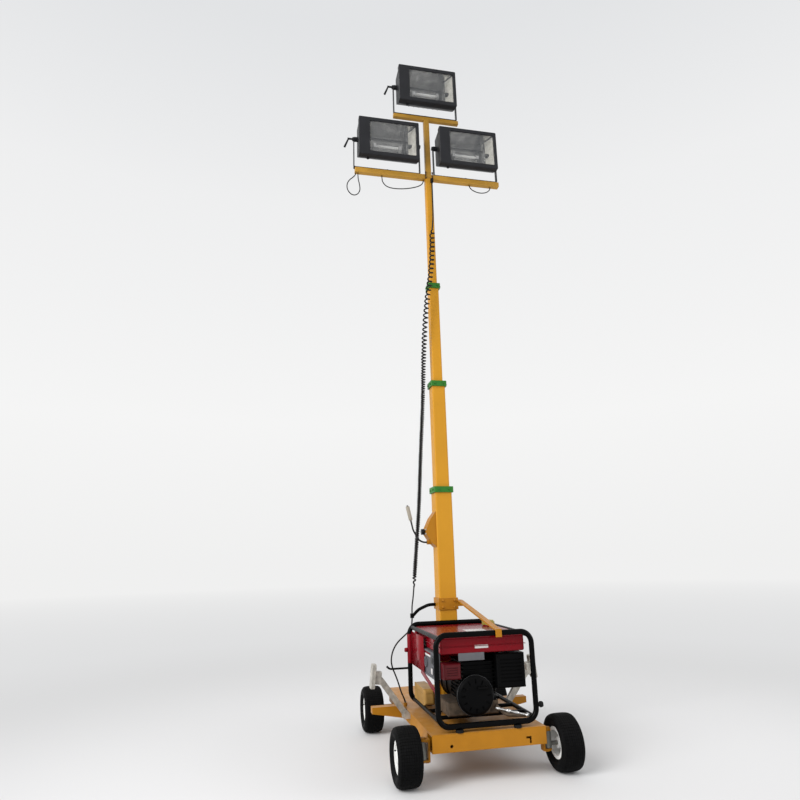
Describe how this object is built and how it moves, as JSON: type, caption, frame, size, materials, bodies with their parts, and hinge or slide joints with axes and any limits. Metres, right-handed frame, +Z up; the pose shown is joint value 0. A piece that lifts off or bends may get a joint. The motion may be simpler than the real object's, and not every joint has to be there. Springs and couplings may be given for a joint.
{
  "type": "mobile emergency light tower",
  "caption": "Four-wheeled yellow cart with a petrol generator and a telescopic square mast carrying three floodlights on crossbars.",
  "frame": {"origin": "on the floor under the mast's axis, on the cart's centre plane", "axes": "+Z up, -Y towards the steered axle and the lamps' faces, +X to the right seen from that end"},
  "size_m": [1.4823, 1.58, 5.856],
  "materials": {
    "yellow_paint": "satin",
    "green_paint": "satin",
    "black_frame": "gloss",
    "red_paint": "gloss",
    "dark_red": "satin",
    "engine_black": "matte",
    "cast_alloy": "rough",
    "tan_case": "satin",
    "panel_grey": "matte",
    "tyre_rubber": "matte",
    "rim_white": "satin",
    "zinc_steel": "satin",
    "cast_grey": "rough",
    "lamp_black": "satin",
    "glass": "clear",
    "reflector": "polished",
    "rubber": "matte",
    "cord_black": "satin",
    "cap_olive": "satin"
  },
  "bodies": {
    "chassis": {"chassis_frame": "yellow_paint", "deck_plate": "yellow_paint", "mast_foot": "yellow_paint", "mast_section_1": "yellow_paint", "mast_collar_1": "green_paint", "mast_brace": "yellow_paint", "winch_housing": "yellow_paint", "winch_knob": "lamp_black", "cord_arm": "black_frame", "generator_frame": "black_frame", "generator_feet": "rubber", "fuel_tank": "red_paint", "fuel_cap": "cap_olive", "engine": "engine_black", "crankcase": "cast_alloy", "recoil_starter": "engine_black", "engine_cover": "dark_red", "silencer": "engine_black", "alternator": "engine_black", "control_panel": "panel_grey", "battery_box": "tan_case", "stabiliser_brackets": "zinc_steel", "curly_cord": "cord_black", "cable_tail": "cord_black"},
    "mast_two": {"mast_section_2": "yellow_paint", "mast_collar_2": "green_paint"},
    "mast_three": {"mast_section_3": "yellow_paint", "mast_collar_3": "green_paint"},
    "mast_four": {"mast_section_4": "yellow_paint", "lamp_head": "yellow_paint", "cord_clip": "lamp_black", "lead_left_loop": "cord_black", "lead_right_loop": "cord_black", "lead_left": "cord_black"},
    "crank": {"winch_crank": "zinc_steel"},
    "knuckle_left": {"knuckle_left": "cast_grey"},
    "knuckle_right": {"knuckle_right": "cast_grey"},
    "tie_rod": {"tie_rod": "zinc_steel"},
    "leg_left": {"stabiliser_leg_left": "zinc_steel"},
    "leg_right": {"stabiliser_leg_right": "zinc_steel"},
    "wheel_front_left": {"tyre_front_left": "tyre_rubber", "rim_front_left": "rim_white"},
    "wheel_front_right": {"tyre_front_right": "tyre_rubber", "rim_front_right": "rim_white"},
    "wheel_rear_left": {"tyre_rear_left": "tyre_rubber", "rim_rear_left": "rim_white"},
    "wheel_rear_right": {"tyre_rear_right": "tyre_rubber", "rim_rear_right": "rim_white"},
    "yoke_left": {"lamp_left_yoke": "lamp_black"},
    "lamp_left": {"lamp_left_housing": "lamp_black", "lamp_left_glass": "glass", "lamp_left_reflector": "reflector"},
    "yoke_right": {"lamp_right_yoke": "lamp_black"},
    "lamp_right": {"lamp_right_housing": "lamp_black", "lamp_right_glass": "glass", "lamp_right_reflector": "reflector"},
    "yoke_top": {"lamp_top_yoke": "lamp_black"},
    "lamp_top": {"lamp_top_housing": "lamp_black", "lamp_top_glass": "glass", "lamp_top_reflector": "reflector"}
  },
  "joints": [
    {"name": "mast_raise", "type": "slide", "parent": "chassis", "child": "mast_two", "axis": [0, 0, 1], "range_m": [-0.8, 0], "deforming": ["curly_cord"]},
    {"name": "mast_raise_2", "type": "slide", "parent": "mast_two", "child": "mast_three", "axis": [0, 0, 1], "range_m": [-0.8, 0]},
    {"name": "mast_raise_3", "type": "slide", "parent": "mast_three", "child": "mast_four", "axis": [0, 0, 1], "range_m": [-0.8, 0]},
    {"name": "steer_left", "type": "hinge", "parent": "chassis", "child": "knuckle_left", "pos_m": [-0.405, -0.776, 0.19], "axis": [0, 0, 1], "range_deg": [-25, 25]},
    {"name": "spin_front_left", "type": "hinge", "parent": "knuckle_left", "child": "wheel_front_left", "pos_m": [-0.51, -0.776, 0.165], "axis": [1, 0, 0], "continuous": true},
    {"name": "spin_rear_left", "type": "hinge", "parent": "chassis", "child": "wheel_rear_left", "pos_m": [-0.51, 0.474, 0.165], "axis": [1, 0, 0], "continuous": true},
    {"name": "leg_left_fold", "type": "hinge", "parent": "chassis", "child": "leg_left", "pos_m": [-0.38, -0.156, 0.262], "axis": [0, -1, 0], "range_deg": [0, 96]},
    {"name": "steer_right", "type": "hinge", "parent": "chassis", "child": "knuckle_right", "pos_m": [0.405, -0.776, 0.19], "axis": [0, 0, 1], "range_deg": [-25, 25]},
    {"name": "spin_front_right", "type": "hinge", "parent": "knuckle_right", "child": "wheel_front_right", "pos_m": [0.51, -0.776, 0.165], "axis": [1, 0, 0], "continuous": true},
    {"name": "spin_rear_right", "type": "hinge", "parent": "chassis", "child": "wheel_rear_right", "pos_m": [0.51, 0.474, 0.165], "axis": [1, 0, 0], "continuous": true},
    {"name": "leg_right_fold", "type": "hinge", "parent": "chassis", "child": "leg_right", "pos_m": [0.38, -0.156, 0.262], "axis": [0, 1, 0], "range_deg": [0, 96]},
    {"name": "tie_rod_pin", "type": "hinge", "parent": "knuckle_left", "child": "tie_rod", "pos_m": [-0.405, -0.676, 0.165], "axis": [0, 0, 1], "range_deg": [-25, 25]},
    {"name": "winch_crank_turn", "type": "hinge", "parent": "chassis", "child": "crank", "pos_m": [-0.15, 0, 1.43], "axis": [1, 0, 0], "continuous": true},
    {"name": "lamp_left_swivel", "type": "hinge", "parent": "mast_four", "child": "yoke_left", "pos_m": [-0.389, 0, 4.76], "axis": [0, 0, 1], "range_deg": [-90, 90]},
    {"name": "lamp_left_tilt", "type": "hinge", "parent": "yoke_left", "child": "lamp_left", "pos_m": [-0.389, 0, 5.064], "axis": [1, 0, 0], "range_deg": [-60, 90]},
    {"name": "lamp_right_swivel", "type": "hinge", "parent": "mast_four", "child": "yoke_right", "pos_m": [0.366, 0, 4.76], "axis": [0, 0, 1], "range_deg": [-90, 90]},
    {"name": "lamp_right_tilt", "type": "hinge", "parent": "yoke_right", "child": "lamp_right", "pos_m": [0.366, 0, 5.064], "axis": [1, 0, 0], "range_deg": [-60, 90]},
    {"name": "lamp_top_swivel", "type": "hinge", "parent": "mast_four", "child": "yoke_top", "pos_m": [-0.004, 0, 5.4], "axis": [0, 0, 1], "range_deg": [-90, 90]},
    {"name": "lamp_top_tilt", "type": "hinge", "parent": "yoke_top", "child": "lamp_top", "pos_m": [-0.004, 0, 5.704], "axis": [1, 0, 0], "range_deg": [-60, 90]}
  ],
  "couplings": [
    {"joint": "mast_raise_2", "follows": "mast_raise", "ratio": 1},
    {"joint": "mast_raise_3", "follows": "mast_raise", "ratio": 1},
    {"joint": "steer_right", "follows": "steer_left", "ratio": 1},
    {"joint": "tie_rod_pin", "follows": "steer_left", "ratio": -1}
  ]
}
